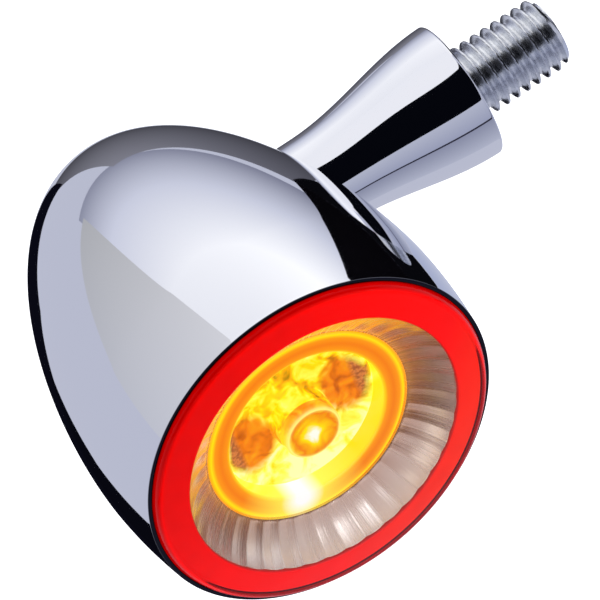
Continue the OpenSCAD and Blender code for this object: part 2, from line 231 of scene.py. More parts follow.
def round_lens_axis(radius, height, turn):
    """Points at a radius, a height above the lip and a turn about the lens axis."""
    across, behind, up = radius * np.cos(turn), LIP_Y - height + 0 * turn, radius * np.sin(turn)
    return np.stack([HEAD_X + across, behind, up], axis=-1)


def round_stalk_axis(radius, place, turn):
    """Points at a radius, a place along X and a turn about the stalk's axis."""
    return np.stack([place + 0 * turn, radius * np.cos(turn), radius * np.sin(turn)], axis=-1)


def turned(outline, columns, place=round_lens_axis):
    """An outline of radius and height, or of radius and place along X, carried round its axis."""
    turn = np.linspace(0, FULL_TURN, columns + 1)[None, :]
    return place(outline[:, :1], outline[:, 1:], turn)


def circle(radius, height, turn, place=round_lens_axis):
    """One row of points at one radius and height, for a sheet that goes on from an uneven edge."""
    return place(np.full_like(turn, radius), np.full_like(turn, height), turn)


def four_sided(rows, columns):
    """The corners of every face of a grid of points, as an array of faces by rows and columns."""
    index = np.arange(rows * columns).reshape(rows, columns)
    return np.stack([index[:-1, :-1], index[:-1, 1:], index[1:, 1:], index[1:, :-1]], axis=-1)


def solid(name, sheets, body, stands_for, finish, keep=None):
    """A closed piece from grids of points. The grids are welded where they meet, faces turn outwards,
    and edges that fold by more than SHARP stay crisp. keep says which faces of the first grid stay."""
    points, faces, start = [], [], 0
    for sheet in sheets:
        rows, columns = sheet.shape[:2]
        grid = start + four_sided(rows, columns)
        if keep is not None and not start:
            grid = grid[keep]
        faces.append(grid.reshape(-1, 4))
        points.append(sheet.reshape(-1, 3))
        start += rows * columns
    mesh = bpy.data.meshes.new(name)
    mesh.from_pydata(np.concatenate(points).tolist(), [], np.concatenate(faces).tolist())
    work = bmesh.new()
    work.from_mesh(mesh)
    bmesh.ops.remove_doubles(work, verts=work.verts, dist=WELD)
    loose = [v for v in work.verts if not v.link_faces]
    bmesh.ops.delete(work, geom=loose, context="VERTS")
    bmesh.ops.recalc_face_normals(work, faces=work.faces)
    open_edges = sum(not edge.is_manifold for edge in work.edges)
    work.to_mesh(mesh)
    work.free()
    if open_edges:
        raise RuntimeError(f"{name} has {open_edges} open edges")
    mesh.polygons.foreach_set("use_smooth", np.ones(len(mesh.polygons), bool))
    mesh.set_sharp_from_angle(angle=SHARP)
    piece = bpy.data.objects.new(name, mesh)
    bpy.context.scene.collection.objects.link(piece)
    mesh.materials.append(finish)
    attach(piece, body)
    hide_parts(stands_for)
    return piece


# ---------------------------------------------------------------- materials

def add(tree, kind, inputs=None, stops=(), **settings):
    """Adds a node. settings are its own properties, inputs maps a socket to a value or to another
    node's output, and stops are the positions and linear colours of a colour ramp."""
    made = tree.nodes.new(kind)
    for key, value in settings.items():
        setattr(made, key, value)
    for key, value in (inputs or {}).items():
        if isinstance(value, bpy.types.NodeSocket):
            tree.links.new(value, made.inputs[key])
        else:
            made.inputs[key].default_value = value
    for _ in stops[2:]:
        made.color_ramp.elements.new(1.0)
    for index, (position, colour) in enumerate(stops):
        made.color_ramp.elements[index].position = position
        made.color_ramp.elements[index].color = rgba(colour)
    return made


def material(name, **constants):
    """A new material, its node tree and its Principled shader with constants set on the sockets."""
    made = bpy.data.materials.new(name)
    made.use_nodes = True
    tree = made.node_tree
    shader = tree.nodes["Principled BSDF"]
    for key, value in constants.items():
        shader.inputs[key.replace("_", " ")].default_value = value
    return made, tree, shader


def rgba(colour):
    """Linear red, green and blue with a full fourth part."""
    return (*colour[:3], 1)


def from_axis(tree):
    """Object coordinates measured from the lens axis at the lip: the vector, its X, its Z and the
    distance from the axis."""
    place = add(tree, "ShaderNodeTexCoord").outputs["Object"]
    centred = add(tree, "ShaderNodeMapping", {"Vector": place, "Location": (-HEAD_X, -LIP_Y, 0)})
    moved = centred.outputs["Vector"]
    flat = add(tree, "ShaderNodeVectorMath", {0: moved, 1: ACROSS_LENS}, operation="MULTIPLY")
    radius = add(tree, "ShaderNodeVectorMath", {0: flat.outputs["Vector"]}, operation="LENGTH")
    axis = add(tree, "ShaderNodeSeparateXYZ", {"Vector": moved})
    return moved, axis.outputs["X"], axis.outputs["Z"], radius.outputs["Value"]


def bright_chrome(name, colour):
    """Chrome plate on a polished casting: a clear mirror, with a faint long wave of the hand-polished
    metal under it, 6 mm from crest to crest, and light haze from wiping."""
    made, tree, shader = material(name, Base_Color=rgba(colour), Metallic=1.0)
    place = add(tree, "ShaderNodeTexCoord").outputs["Object"]
    haze = add(tree, "ShaderNodeTexNoise", {"Vector": place, "Scale": 1 / (3 * MM), "Detail": 4.0})
    rough = add(tree, "ShaderNodeMapRange",
                {"Value": haze.outputs["Fac"], "To Min": 0.02, "To Max": 0.045})
    wave = add(tree, "ShaderNodeTexNoise", {"Vector": place, "Scale": 1 / (6 * MM), "Detail": 0.0})
    bump = add(tree, "ShaderNodeBump", {"Height": wave.outputs["Fac"], "Distance": 0.0015 * MM})
    tree.links.new(rough.outputs["Result"], shader.inputs["Roughness"])
    tree.links.new(bump.outputs["Normal"], shader.inputs["Normal"])
    return made


def chrome_with_painted_lip_shade(name, colour):
    """Chrome plate on the housing: bright like the stalk's, with painted shade on the lip: the base colour
    darkens in a thin band next to the lens, a dark line that parts the lens from the bright wall and
    stands for the shadow in the gap between them."""
    made = bright_chrome(name, colour)
    tree = made.node_tree
    place = add(tree, "ShaderNodeTexCoord").outputs["Object"]
    behind = add(tree, "ShaderNodeSeparateXYZ", {"Vector": place}).outputs["Y"]
    # painted shade: the base colour runs from near black at the lip to the plate's colour 0.1 mm behind
    # it, a dark line standing for the shadow in the gap by the lens
    run = add(tree, "ShaderNodeMapRange",
              {"Value": behind, "From Min": LIP_Y + 0.04 * MM, "From Max": LIP_Y + 0.14 * MM})
    tone = add(tree, "ShaderNodeValToRGB", {"Fac": run.outputs["Result"]},
               [(0.0, linear("#24242E")), (1.0, colour)])
    tree.links.new(tone.outputs["Color"], tree.nodes["Principled BSDF"].inputs["Base Color"])
    return made


def zinc_plate(name, colour):
    """Zinc plate on a rolled steel thread: a bright but grainy metal, cloudier than chrome, with
    patches 0.8 mm across."""
    made, tree, shader = material(name, Metallic=1.0)
    place = add(tree, "ShaderNodeTexCoord").outputs["Object"]
    patches = add(tree, "ShaderNodeTexNoise",
                  {"Vector": place, "Scale": 1 / (0.8 * MM), "Detail": 3.0}).outputs["Fac"]
    darker = [c * 0.82 for c in colour]
    tone = add(tree, "ShaderNodeValToRGB", {"Fac": patches}, [(0.3, darker), (0.65, colour)])
    rough = add(tree, "ShaderNodeMapRange", {"Value": patches, "To Min": 0.3, "To Max": 0.16})
    grain = add(tree, "ShaderNodeTexNoise", {"Vector": place, "Scale": 1 / (0.25 * MM)})
    bump = add(tree, "ShaderNodeBump", {"Height": grain.outputs["Fac"], "Distance": 0.004 * MM})
    tree.links.new(tone.outputs["Color"], shader.inputs["Base Color"])
    tree.links.new(rough.outputs["Result"], shader.inputs["Roughness"])
    tree.links.new(bump.outputs["Normal"], shader.inputs["Normal"])
    return made


def clear_acrylic(name, s):
    """Moulded clear acrylic, polished: colourless in the middle. Its outer edge has a painted red tint and
    a painted red glow that stand for the ring's light seen through it, so it shows as a dark red line
    against the chrome."""
    made, tree, shader = material(name, Roughness=0.0, IOR=1.49, Transmission_Weight=1.0,
                                  Specular_Tint=(0.1, 0.1, 0.1, 1), Emission_Strength=1.0)
    place, _, _, radius = from_axis(tree)
    rim = LENS_HIGH.z
    edge = add(tree, "ShaderNodeMapRange",
               {"Value": radius, "From Min": rim - 0.75 * MM, "From Max": rim - 0.15 * MM})
    edge = edge.outputs["Result"]
    # painted light: towards the rim the base colour turns dark red and a dark red emission is added,
    # standing for the red ring's light seen through the clear edge
    painted_edge_red = [c * 0.3 for c in s.ring_glow]
    tone = add(tree, "ShaderNodeValToRGB", {"Fac": edge}, [(0.0, WHITE), (1.0, painted_edge_red)])
    glow = add(tree, "ShaderNodeValToRGB", {"Fac": edge},
               [(0.0, BLACK), (0.5, painted_edge_red), (1.0, (0.02, 0, 0))])
    wave = add(tree, "ShaderNodeTexNoise", {"Vector": place, "Scale": 1 / (5 * MM), "Detail": 0.0})
    bump = add(tree, "ShaderNodeBump", {"Height": wave.outputs["Fac"], "Distance": 0.0004 * MM})
    tree.links.new(tone.outputs["Color"], shader.inputs["Base Color"])
    tree.links.new(glow.outputs["Color"], shader.inputs["Emission Color"])
    tree.links.new(bump.outputs["Normal"], shader.inputs["Normal"])
    return made


def red_ring_glow(name, s):
    """Red acrylic light guide, lit from its skirt: a saturated glow with painted light and shade across
    it, darker on the upper side away from the stalk and lighter and warmer towards the stalk and
    downwards, and darker at the inner and outer edges."""
    made, tree, shader = material(name, Base_Color=(0.12, 0, 0, 1), Roughness=0.3, IOR=1.49,
                                  Emission_Strength=1.0, Specular_IOR_Level=0.2)
    place, x, z, radius = from_axis(tree)
    # painted light and shade: the glow falls to 0.7 of its colour on the upper side away from the stalk
    # and turns to the warm colour towards the stalk and downwards
    mixed = add(tree, "ShaderNodeMath", {0: x, 1: z}, operation="SUBTRACT").outputs[0]
    side = add(tree, "ShaderNodeMapRange", {"Value": mixed, "From Min": -26 * MM, "From Max": 24 * MM})
    painted_shade_red = [c * 0.7 for c in s.ring_glow]
    glow = add(tree, "ShaderNodeValToRGB", {"Fac": side.outputs["Result"]},
               [(0.0, painted_shade_red), (0.45, s.ring_glow), (0.75, s.ring_glow), (1.0, s.ring_glow_painted_light)])
    rim = RING_HIGH.z
    # darker bands at the ring's inner and outer edges
    across = add(tree, "ShaderNodeMapRange",
                 {"Value": radius, "From Min": rim - s.ring_width, "From Max": rim})
    edge = add(tree, "ShaderNodeValToRGB", {"Fac": across.outputs["Result"]},
               [(0.0, (0.3, 0.1, 0.1)), (0.05, WHITE), (0.86, WHITE), (1.0, (0.4, 0.2, 0.2))])
    cloud = add(tree, "ShaderNodeTexNoise", {"Vector": place, "Scale": 1 / (2.5 * MM), "Detail": 3.0})
    even = add(tree, "ShaderNodeMapRange", {"Value": cloud.outputs["Fac"], "To Min": 0.86, "To Max": 1.12})
    lit = add(tree, "ShaderNodeVectorMath", {0: glow.outputs["Color"], 1: edge.outputs["Color"]},
              operation="MULTIPLY")
    shade = add(tree, "ShaderNodeVectorMath", {0: lit.outputs["Vector"], "Scale": even.outputs["Result"]},
                operation="SCALE")
    tree.links.new(shade.outputs["Vector"], shader.inputs["Emission Color"])
    return made


def metallised(name):
    """Aluminium evaporated on moulded plastic: a soft silver mirror whose flutes carry a fine drawn
    grain that runs out from the centre, about 0.4 mm wide at the rim, with a painted amber glow that
    stands for the optic's light mirrored in it: it fades towards the rim, is brighter towards the top
    and is streaked along the grain."""
    made, tree, shader = material(name, Base_Color=rgba(linear("#D8CFCC")), Metallic=1.0,
                                  Emission_Strength=1.0)
    _, x, z, radius = from_axis(tree)
    turn = add(tree, "ShaderNodeMath", {0: z, 1: x}, operation="ARCTAN2").outputs[0]
    foot, rim = DIFFUSER_HIGH.z, REFLECTOR_HIGH.z
    drawn = add(tree, "ShaderNodeTexNoise", {"W": turn, "Scale": 40.0, "Detail": 2.0},
                noise_dimensions="1D").outputs["Fac"]
    rough = add(tree, "ShaderNodeMapRange", {"Value": drawn, "To Min": 0.14, "To Max": 0.36})
    bump = add(tree, "ShaderNodeBump", {"Height": drawn, "Distance": 0.02 * MM})
    # painted reflection: the emission stands for the amber light mirrored in the reflector, orange at the
    # foot and brown at the rim
    out = add(tree, "ShaderNodeMapRange", {"Value": radius, "From Min": foot, "From Max": rim})
    warm = add(tree, "ShaderNodeValToRGB", {"Fac": out.outputs["Result"]},
               [(0.0, linear("#F59A2C")), (0.25, linear("#B8641E")), (0.6, linear("#7E4822")),
                (1.0, linear("#4E3022"))])
    # painted light: brighter towards the top and streaked along the grain
    painted_glow_upper = add(tree, "ShaderNodeMapRange",
                {"Value": z, "From Min": -9 * MM, "From Max": 11 * MM, "To Min": 0.12, "To Max": 1.0})
    streak = add(tree, "ShaderNodeMapRange",
                 {"Value": drawn, "From Min": 0.3, "From Max": 0.7, "To Min": 0.7, "To Max": 1.25})
    level = add(tree, "ShaderNodeMath", {0: painted_glow_upper.outputs["Result"], 1: streak.outputs["Result"]},
                operation="MULTIPLY")
    glow = add(tree, "ShaderNodeVectorMath", {0: warm.outputs["Color"], "Scale": level.outputs[0]},
               operation="SCALE")
    tree.links.new(rough.outputs["Result"], shader.inputs["Roughness"])
    tree.links.new(bump.outputs["Normal"], shader.inputs["Normal"])
    tree.links.new(glow.outputs["Vector"], shader.inputs["Emission Color"])
    return made


def amber_diffuser(name, s):
    """Frosted polycarbonate ring, lit from behind: an orange glow with bright yellow edges, where light
    leaves the moulding, and a painted highlight below: a pale patch with a white glint at its middle."""
    made, tree, shader = material(name, Base_Color=(0.2, 0.06, 0.0, 1), Roughness=0.3, IOR=1.58,
                                  Emission_Strength=1.0)
    moved, _, _, radius = from_axis(tree)
    inner, outer = OPTIC_HIGH.z, DIFFUSER_HIGH.z
    share = add(tree, "ShaderNodeMapRange", {"Value": radius, "From Min": inner, "From Max": outer})
    glow = add(tree, "ShaderNodeValToRGB", {"Fac": share.outputs["Result"]},
               [(0.0, s.glow_yellow), (0.18, s.glow_amber), (0.45, s.glow_orange), (0.7, s.glow_amber),
                (0.86, s.glow_yellow), (1.0, s.glow_amber)])
    # painted highlight: the glow turns pale within 7 mm of this point and white within 2.4 mm, standing
    # for a light mirrored on the ring
    painted_highlight_centre = (-3.4 * MM, 0, -8.2 * MM)
    gap = add(tree, "ShaderNodeVectorMath", {0: moved, 1: painted_highlight_centre}, operation="SUBTRACT")
    level = add(tree, "ShaderNodeVectorMath", {0: gap.outputs["Vector"], 1: ACROSS_LENS},
                operation="MULTIPLY")
    reach = add(tree, "ShaderNodeVectorMath", {0: level.outputs["Vector"]},
                operation="LENGTH").outputs["Value"]
    painted_highlight_spread = add(tree, "ShaderNodeMapRange",
               {"Value": reach, "From Min": 1.2 * MM, "From Max": 7 * MM, "To Min": 0.9, "To Max": 0.0})
    warm = add(tree, "ShaderNodeMix",
               {"Factor": painted_highlight_spread.outputs["Result"], "A": glow.outputs["Color"], "B": rgba(s.glow_pale)},
               data_type="RGBA")
    painted_glint = add(tree, "ShaderNodeMapRange",
                {"Value": reach, "From Min": 0.7 * MM, "From Max": 2.4 * MM, "To Min": 1.0, "To Max": 0.0})
    mixed = add(tree, "ShaderNodeMix",
                {"Factor": painted_glint.outputs["Result"], "A": warm.outputs["Result"], "B": rgba(WHITE)},
                data_type="RGBA")
    tree.links.new(mixed.outputs["Result"], shader.inputs["Emission Color"])
    return made


def amber_optic(name, s):
    """Clear polycarbonate optic over four amber diodes: a mottled yellow glow, two orange hollows on the
    stalk's plane with a dull hatched end, and a pip with a bright edge and a white heart."""
    made, tree, shader = material(name, Base_Color=(0.2, 0.07, 0.0, 1), Roughness=0.08, IOR=1.58,
                                  Emission_Strength=1.0)
    place, x, z, radius = from_axis(tree)
    aside = add(tree, "ShaderNodeMath", {0: x}, operation="ABSOLUTE").outputs[0]
    mottle = add(tree, "ShaderNodeTexNoise",
                 {"Vector": place, "Scale": 1 / (1.9 * MM), "Detail": 4.0, "Distortion": 0.8})
    mottle = mottle.outputs["Fac"]
    lower = add(tree, "ShaderNodeMapRange",
                {"Value": z, "From Min": 2 * MM, "From Max": -8 * MM, "To Min": 0.0, "To Max": 0.3})
    lower = lower.outputs["Result"]
    tone = add(tree, "ShaderNodeMath", {0: mottle, 1: lower}, operation="ADD").outputs[0]
    body = add(tree, "ShaderNodeValToRGB", {"Fac": tone},
               [(0.3, linear("#9A7400")), (0.4, linear("#F4A800")), (0.5, s.glow_yellow),
                (0.64, s.glow_pale), (0.8, linear("#FFFFB4"))])
    # the two hollows, each an oval round a place on the stalk's plane
    along_x = add(tree, "ShaderNodeMath", {0: aside, 1: s.hollow}, operation="SUBTRACT").outputs[0]
    squeezed = add(tree, "ShaderNodeMath", {0: z, 1: 0.72}, operation="MULTIPLY").outputs[0]
    oval = add(tree, "ShaderNodeCombineXYZ", {"X": along_x, "Z": squeezed}).outputs["Vector"]
    from_hollow = add(tree, "ShaderNodeVectorMath", {0: oval}, operation="LENGTH").outputs["Value"]
    wander = add(tree, "ShaderNodeMath", {0: mottle, 1: 1.2 * MM, 2: from_hollow},
                 operation="MULTIPLY_ADD").outputs[0]
    inside = add(tree, "ShaderNodeMapRange",
                 {"Value": wander, "From Min": 2.7 * MM, "From Max": 3.5 * MM, "To Min": 1.0,
                  "To Max": 0.0}).outputs["Result"]
    hollow = add(tree, "ShaderNodeValToRGB", {"Fac": mottle},
                 [(0.35, linear("#B84E08")), (0.5, s.glow_orange), (0.68, linear("#F5A010"))])
    hollow = hollow.outputs["Color"]
    hatch = add(tree, "ShaderNodeTexNoise", {"Vector": place, "Scale": 1 / (0.3 * MM), "Detail": 2.0})
    dull = add(tree, "ShaderNodeValToRGB", {"Fac": hatch.outputs["Fac"]},
               [(0.4, linear("#96502E")), (0.62, linear("#CC7A40"))])
    outer = add(tree, "ShaderNodeMapRange",
                {"Value": aside, "From Min": s.hollow + 0.9 * MM, "From Max": s.hollow + 1.5 * MM})
    sides = add(tree, "ShaderNodeMix",
                {"Factor": outer.outputs["Result"], "A": hollow, "B": dull.outputs["Color"]},
                data_type="RGBA")
    face = add(tree, "ShaderNodeMix",
               {"Factor": inside, "A": body.outputs["Color"], "B": sides.outputs["Result"]},
               data_type="RGBA")
    # the pip: its own colours out from its middle
    flat = add(tree, "ShaderNodeCombineXYZ", {"X": x, "Z": squeezed}).outputs["Vector"]
    apart = add(tree, "ShaderNodeVectorMath", {0: flat}, operation="LENGTH").outputs["Value"]
    spark = add(tree, "ShaderNodeMath", {0: mottle, 1: 2.6 * MM, 2: apart}, operation="MULTIPLY_ADD")
    run = add(tree, "ShaderNodeMapRange",
              {"Value": spark.outputs[0], "From Min": 1.2 * MM, "From Max": s.pip + 1.3 * MM})
    heart = add(tree, "ShaderNodeValToRGB", {"Fac": run.outputs["Result"]},
                [(0.1, linear("#FFFFF0")), (0.3, s.glow_yellow), (0.55, linear("#F8B000")),
                 (0.75, s.glow_orange), (1.0, linear("#FFD820"))])
    across = add(tree, "ShaderNodeMapRange",
                 {"Value": radius, "From Min": s.pip - 0.6 * MM, "From Max": s.pip + 0.02 * MM})
    edge = add(tree, "ShaderNodeValToRGB", {"Fac": across.outputs["Result"]},
               [(0.0, BLACK), (0.35, (0.2, 0.2, 0.2)), (0.6, WHITE), (0.9, (0.5, 0.5, 0.5)), (1.0, BLACK)])
    pip = add(tree, "ShaderNodeMix",
              {"Factor": edge.outputs["Color"], "A": heart.outputs["Color"], "B": rgba(linear("#FFFA80"))},
              data_type="RGBA")
    beyond = add(tree, "ShaderNodeMath", {0: radius, 1: s.pip + 0.05 * MM}, operation="GREATER_THAN")
    glow = add(tree, "ShaderNodeMix",
               {"Factor": beyond.outputs[0], "A": pip.outputs["Result"], "B": face.outputs["Result"]},
               data_type="RGBA")
    ripple = add(tree, "ShaderNodeTexNoise", {"Vector": place, "Scale": 1 / (0.6 * MM)})
    bump = add(tree, "ShaderNodeBump", {"Height": ripple.outputs["Fac"], "Distance": 0.03 * MM})
    tree.links.new(glow.outputs["Result"], shader.inputs["Emission Color"])
    tree.links.new(bump.outputs["Normal"], shader.inputs["Normal"])
    return made


def moulded(name, colour, rough, size, depth):
    """Moulded plastic, rubber, resin or fired ferrite: an even colour, slightly cloudy, with the grain
    that the mould or the coat left, of a size and depth in metres."""
    made, tree, shader = material(name, IOR=1.5)
    colour = linear(colour)
    place = add(tree, "ShaderNodeTexCoord").outputs["Object"]
    cloud = add(tree, "ShaderNodeTexNoise", {"Vector": place, "Scale": 1 / (12 * size)}).outputs["Fac"]
    darker = [c * 0.85 for c in colour]
    tone = add(tree, "ShaderNodeValToRGB", {"Fac": cloud}, [(0.35, darker), (0.65, colour)])
    sheen = add(tree, "ShaderNodeMapRange",
                {"Value": cloud, "To Min": rough * 0.85, "To Max": rough * 1.1})
    grain = add(tree, "ShaderNodeTexNoise", {"Vector": place, "Scale": 1 / size})
    bump = add(tree, "ShaderNodeBump", {"Height": grain.outputs["Fac"], "Distance": depth})
    tree.links.new(tone.outputs["Color"], shader.inputs["Base Color"])
    tree.links.new(sheen.outputs["Result"], shader.inputs["Roughness"])
    tree.links.new(bump.outputs["Normal"], shader.inputs["Normal"])
    return made


def plain_metal(name, colour, rough, size):
    """Turned, pressed or sintered metal: a dull sheen with the marks of its making, of a size in
    metres."""
    made, tree, shader = material(name, Metallic=1.0)
    colour = linear(colour)
    place = add(tree, "ShaderNodeTexCoord").outputs["Object"]
    marks = add(tree, "ShaderNodeTexNoise",
                {"Vector": place, "Scale": 1 / size, "Detail": 3.0}).outputs["Fac"]
    darker = [c * 0.75 for c in colour]
    tone = add(tree, "ShaderNodeValToRGB", {"Fac": marks}, [(0.3, darker), (0.7, colour)])
    sheen = add(tree, "ShaderNodeMapRange", {"Value": marks, "To Min": rough * 0.8, "To Max": rough * 1.2})
    bump = add(tree, "ShaderNodeBump", {"Height": marks, "Distance": 0.003 * MM})
    tree.links.new(tone.outputs["Color"], shader.inputs["Base Color"])
    tree.links.new(sheen.outputs["Result"], shader.inputs["Roughness"])
    tree.links.new(bump.outputs["Normal"], shader.inputs["Normal"])
    return made


def lit_diode(name, colour):
    """Phosphor under clear silicone, lit: a flat bright window with a faint sparkle."""
    colour = linear(colour)
    made, tree, shader = material(name, Base_Color=rgba(colour), Roughness=0.3, Emission_Strength=2.0)
    place = add(tree, "ShaderNodeTexCoord").outputs["Object"]
    sparkle = add(tree, "ShaderNodeTexNoise", {"Vector": place, "Scale": 1 / (0.2 * MM)})
    paler = [min(1, c + 0.2) for c in colour]
    tone = add(tree, "ShaderNodeValToRGB", {"Fac": sparkle.outputs["Fac"]}, [(0.4, colour), (0.7, paler)])
    tree.links.new(tone.outputs["Color"], shader.inputs["Emission Color"])
    return made


# ---------------------------------------------------------------- operators

def finish_piece(operator, piece):
    """Reports a piece and ends its operator."""
    operator.report({"INFO"}, f"{piece.name}: {len(piece.data.polygons)} faces")
    return {"FINISHED"}


def bullet(s, q, wall):
    """Radius and depth behind the lip of the bullet's skin, or of its inside at the wall's depth. q is
    the share of the full radius, and the nose's share of the depth is (1 - q^flank)^(1/nose)."""
    nose = HOUSING_HIGH.y - LIP_Y - s.widest
    run = (1 - q ** s.flank_power) ** (1 / s.nose_power)
    return np.stack([(s.radius - wall) * q, s.widest + (nose - wall) * run], axis=1)


def hole_patch(s, rows, turn, wall):
    """The skin between the stalk's hole and the edge of the stretch left out for it. Rows blend from a
    circle about the stalk's axis to that edge, and each point lies on the bullet: its distance from
    the lens axis is the radius times (1 - depth^nose)^(1/flank), depth as a share of the nose."""
    end, side = len(rows) - 1, len(turn) - 1
    row = np.r_[np.zeros(side, int), 0:end, np.full(side, end), end:0:-1, 0]
    column = np.r_[0:side, np.full(end, side), side:0:-1, np.zeros(end, int), 0]
    edge_radius, edge_depth = rows[row].T
    edge_turn = turn[column]
    edge = np.stack([edge_depth + LIP_Y, edge_radius * np.sin(edge_turn)], axis=1)
    heading = np.arctan2(edge[:, 1], edge[:, 0])
    rim = s.bore * np.stack([np.cos(heading), np.sin(heading)], axis=1)
    share = np.linspace(0, 1, 15)[:, None, None]
    y, z = np.moveaxis(rim * (1 - share) + edge * share, -1, 0)
    nose = HOUSING_HIGH.y - LIP_Y - s.widest
    depth = (y - LIP_Y - s.widest) / (nose - wall)
    reach = (s.radius - wall) * (1 - depth ** s.nose_power) ** (1 / s.flank_power)
    patch = np.stack([HEAD_X + np.sqrt(reach ** 2 - z ** 2), y, z], axis=-1)
    patch[-1] = round_lens_axis(edge_radius, -edge_depth, edge_turn)
    return patch


class MakeHousing(bpy.types.Operator):
    """Bullet housing: one closed wall turned about the lens axis, with the hole that the stalk enters."""
    bl_idname = "turn_signal.housing"
    bl_label = "Housing"

    def execute(self, context):
        s = context.scene.turn_signal_housing
        quarter = np.cos(np.linspace(0, math.pi / 2, 111))
        quarter[-1] = 0
        outer, inner = bullet(s, quarter, 0), bullet(s, quarter, s.wall)
        seat = RING_HIGH.z + 2 * PLAY
        cavity = seat - s.shoulder
        inner[:, 0] = np.minimum(inner[:, 0], cavity)
        # the flank's radius falls towards the lip as the square of the distance from the widest place
        flank = np.linspace(s.widest, s.edge, 25)[1:]
        skin = np.stack([s.radius - s.taper * ((s.widest - flank) / s.widest) ** 2, flank], axis=1)
        lip_radius = skin[-1, 0]
        lip = np.concatenate([arc((lip_radius - s.edge, -s.edge), s.edge, 0, 90),
                              arc((seat + s.edge, -s.edge), s.edge, 90, 180)]) * (1, -1)
        bowl = [(seat, s.seat_depth), (cavity, s.seat_depth), (cavity, s.widest)]
        outline = np.concatenate([outer[::-1], skin[:-1], lip, bowl, inner[1:]])
        body = turned(outline * (1, -1), LARGE_ROUND)
        # the rows and columns left out round the stalk, the same on both sides of the wall
        before, behind, half = 7 * MM, 8 * MM, 18
        first = int(np.searchsorted(outer[:, 1], -LIP_Y - before)) - 1
        last = int(np.searchsorted(outer[:, 1], -LIP_Y + behind))
        outer_end, inner_start = len(outer) - 1, len(outline) - len(inner)
        window = np.r_[0:half, LARGE_ROUND - half:LARGE_ROUND]
        keep = np.ones((len(outline) - 1, LARGE_ROUND), bool)
        keep[outer_end - last:outer_end - first, window] = False
        keep[inner_start + first:inner_start + last, window] = False
        turn = FULL_TURN * np.arange(-half, half + 1) / LARGE_ROUND
        patches = [hole_patch(s, outer[first:last + 1], turn, 0),
                   hole_patch(s, inner[first:last + 1], turn, s.wall)]
        bore = np.stack([patch[0] for patch in patches])
        piece = solid("housing", [body, *patches, bore], "head", "housing_shell",
                      chrome_with_painted_lip_shade("chrome_plate_cast", s.plate), keep)
        return finish_piece(self, piece)


class MakeStalk(bpy.types.Operator):
    """Stalk: a flared neck turned about X, whose radius falls as half a cosine from the seat to the
    neck, with the journal that runs on into the housing."""
    bl_idname = "turn_signal.stalk"
    bl_label = "Stalk"

    def execute(self, context):
        s = context.scene.turn_signal_stalk
        plate = context.scene.turn_signal_housing.plate
        seat = STALK_HIGH.z
        end = STALK_LOW.x
        x = np.linspace(-s.seat_round, -s.flare, 70)
        flare = np.stack([s.neck + (seat - s.neck) * (1 + np.cos(math.pi * x / s.flare)) / 2, x], axis=1)
        edge = arc((flare[0, 0] - s.seat_round, -s.seat_round), s.seat_round, 90, 0, 8)[:-1]
        nut_radius = s.journal - 0.2 * MM
        journal_end, chamfer = -25 * MM, 0.3 * MM
        shank = s.crest - s.depth / 2
        recess = s.crest + 0.2 * MM
        inner_end = [(s.neck, -s.neck_end), (s.journal, -s.neck_end), (s.journal, journal_end),
                     (nut_radius, journal_end), (nut_radius, end + chamfer), (nut_radius - chamfer, end)]
        bore = [(s.passage, end), (s.passage, -s.grip), (shank, -s.grip), (shank, -s.recess),
                (recess, -s.recess), (recess, 0)]
        outline = np.concatenate([[(recess, 0)], edge, flare, inner_end, bore])
        piece = solid("swivel_stalk", [turned(outline, SMALL_ROUND, round_stalk_axis)], "mounting",
                      "stalk", bright_chrome("chrome_plate_turned", plate))
        return finish_piece(self, piece)


class MakeStud(bpy.types.Operator):
    """Hollow stud with a helical thread: the radius at a place and turn is that of a V groove with flat
    crest and root, measured from the nearest root of the helix, and never more than the end chamfer."""
    bl_idname = "turn_signal.stud"
    bl_label = "Threaded stud"

    def execute(self, context):
        s = context.scene.turn_signal_stalk
        end = STUD_HIGH.x
        shank = s.crest - s.depth / 2
        root_flat, flank_run = 0.2, 0.66       # shares of half a pitch
        run_in, mouth = 0.4 * s.pitch, 0.25 * MM
        turn = np.linspace(0, FULL_TURN, 121)[None, :]
        x = np.linspace(0, end, 200)[:, None] + 0 * turn
        from_root = np.abs(np.mod(x / s.pitch - turn / FULL_TURN, 1) - 0.5) * 2
        slope = np.clip((from_root - root_flat) / flank_run, 0, 1)
        # half a straight flank and half an S curve, so that crest and root are a little rounded
        rise = slope * slope * (3 - 2 * slope) * 0.5 + slope * 0.5
        thread = s.crest - s.depth + s.depth * rise
        # the thread runs out under the seat and into the end chamfer
        thread = shank + (thread - shank) * np.clip(x / run_in, 0, 1)
        limit = s.crest - np.clip(x - (end - s.chamfer), 0, None)
        skin = round_stalk_axis(np.minimum(thread, limit), x, turn)
        bore = [circle(radius, place, turn, round_stalk_axis) for radius, place in
                ((s.bore + mouth, end), (s.bore, end - mouth), (s.bore, -s.grip), (shank, -s.grip))]
        inside = np.concatenate([skin[-1:], *bore, skin[:1]])
        piece = solid("threaded_stud", [skin, inside], "mounting", "hollow_stud",
                      zinc_plate("zinc_plate_rolled", s.steel))
        return finish_piece(self, piece)


def dome(s, radius, flat_r):
    """Height of the lens's face at a radius: a parabola that falls to the edge's height."""
    return s.edge_height + s.rise * (1 - (radius / flat_r) ** 2)


